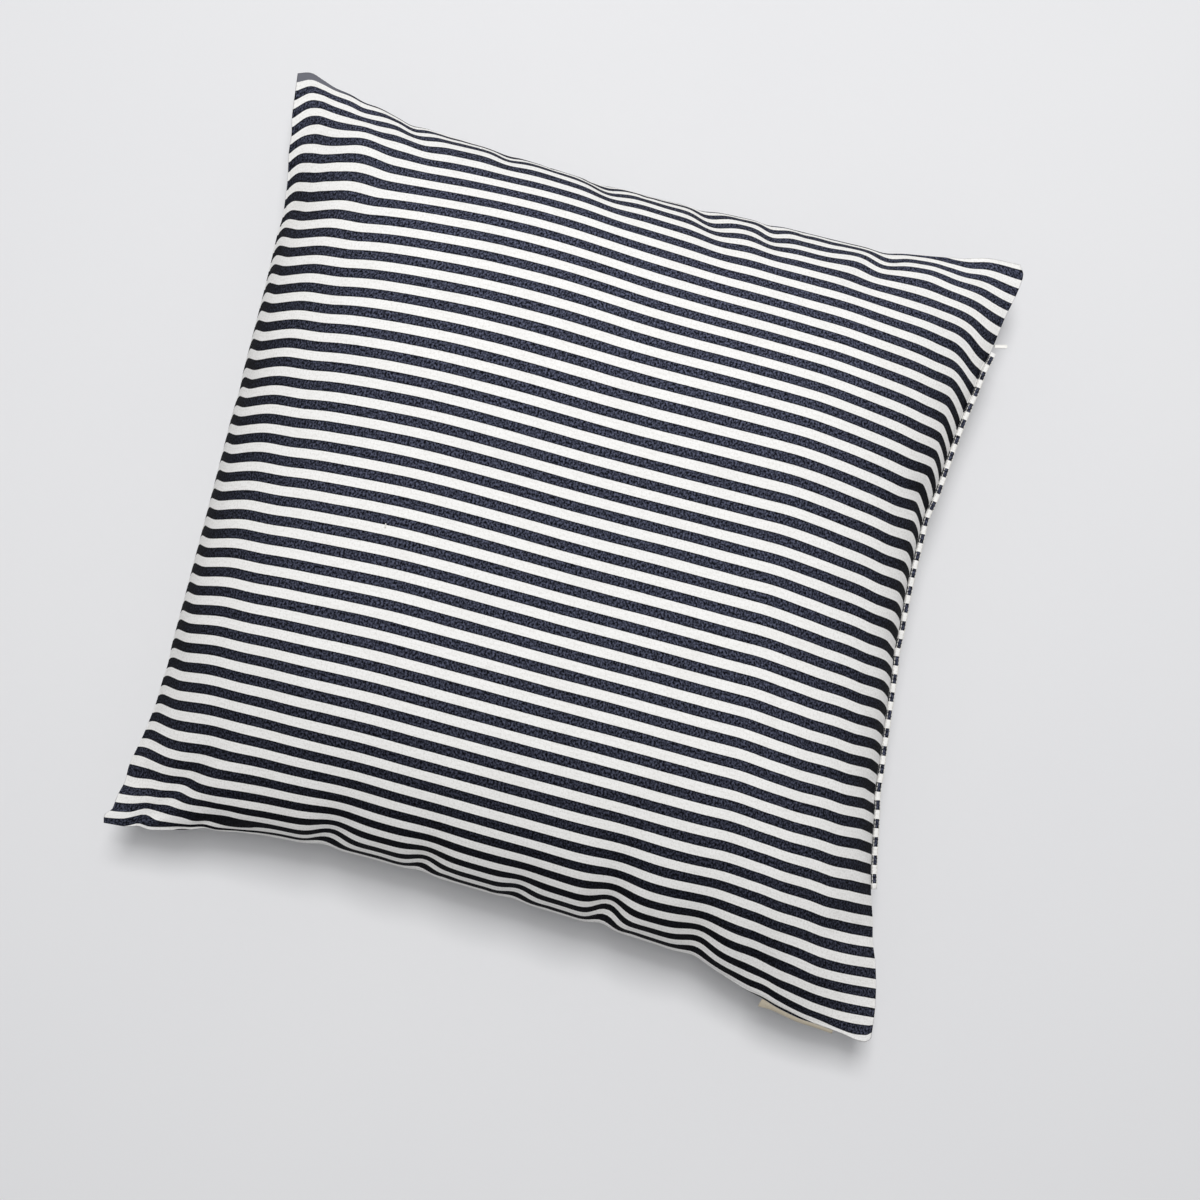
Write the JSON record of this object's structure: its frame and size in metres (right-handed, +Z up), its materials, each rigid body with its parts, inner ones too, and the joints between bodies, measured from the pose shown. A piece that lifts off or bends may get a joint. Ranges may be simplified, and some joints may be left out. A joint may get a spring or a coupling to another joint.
{
  "type": "square striped euro pillow",
  "caption": "Square filled pillow in a plain knife-edge cover, crowned, with drawn-in sides, puckered seams, a zip lap along one side and a blank seam label.",
  "frame": {"origin": "on the supporting surface, under the middle of the pillow", "axes": "+Z up through the pillow, the shortest way through it; +X along the stripes, towards the zip side; +Y towards the top seam"},
  "size_m": [0.674, 0.6768, 0.166],
  "materials": {
    "striped_cloth": "matt cotton canvas in even navy and warm white stripes",
    "zip_pull": "satin off-white",
    "label_cloth": "smooth woven cream tape"
  },
  "bodies": {
    "root": {"cover": "striped_cloth", "zip_lap": "striped_cloth", "zip_pull": "zip_pull", "seam_label": "label_cloth"}
  },
  "joints": []
}
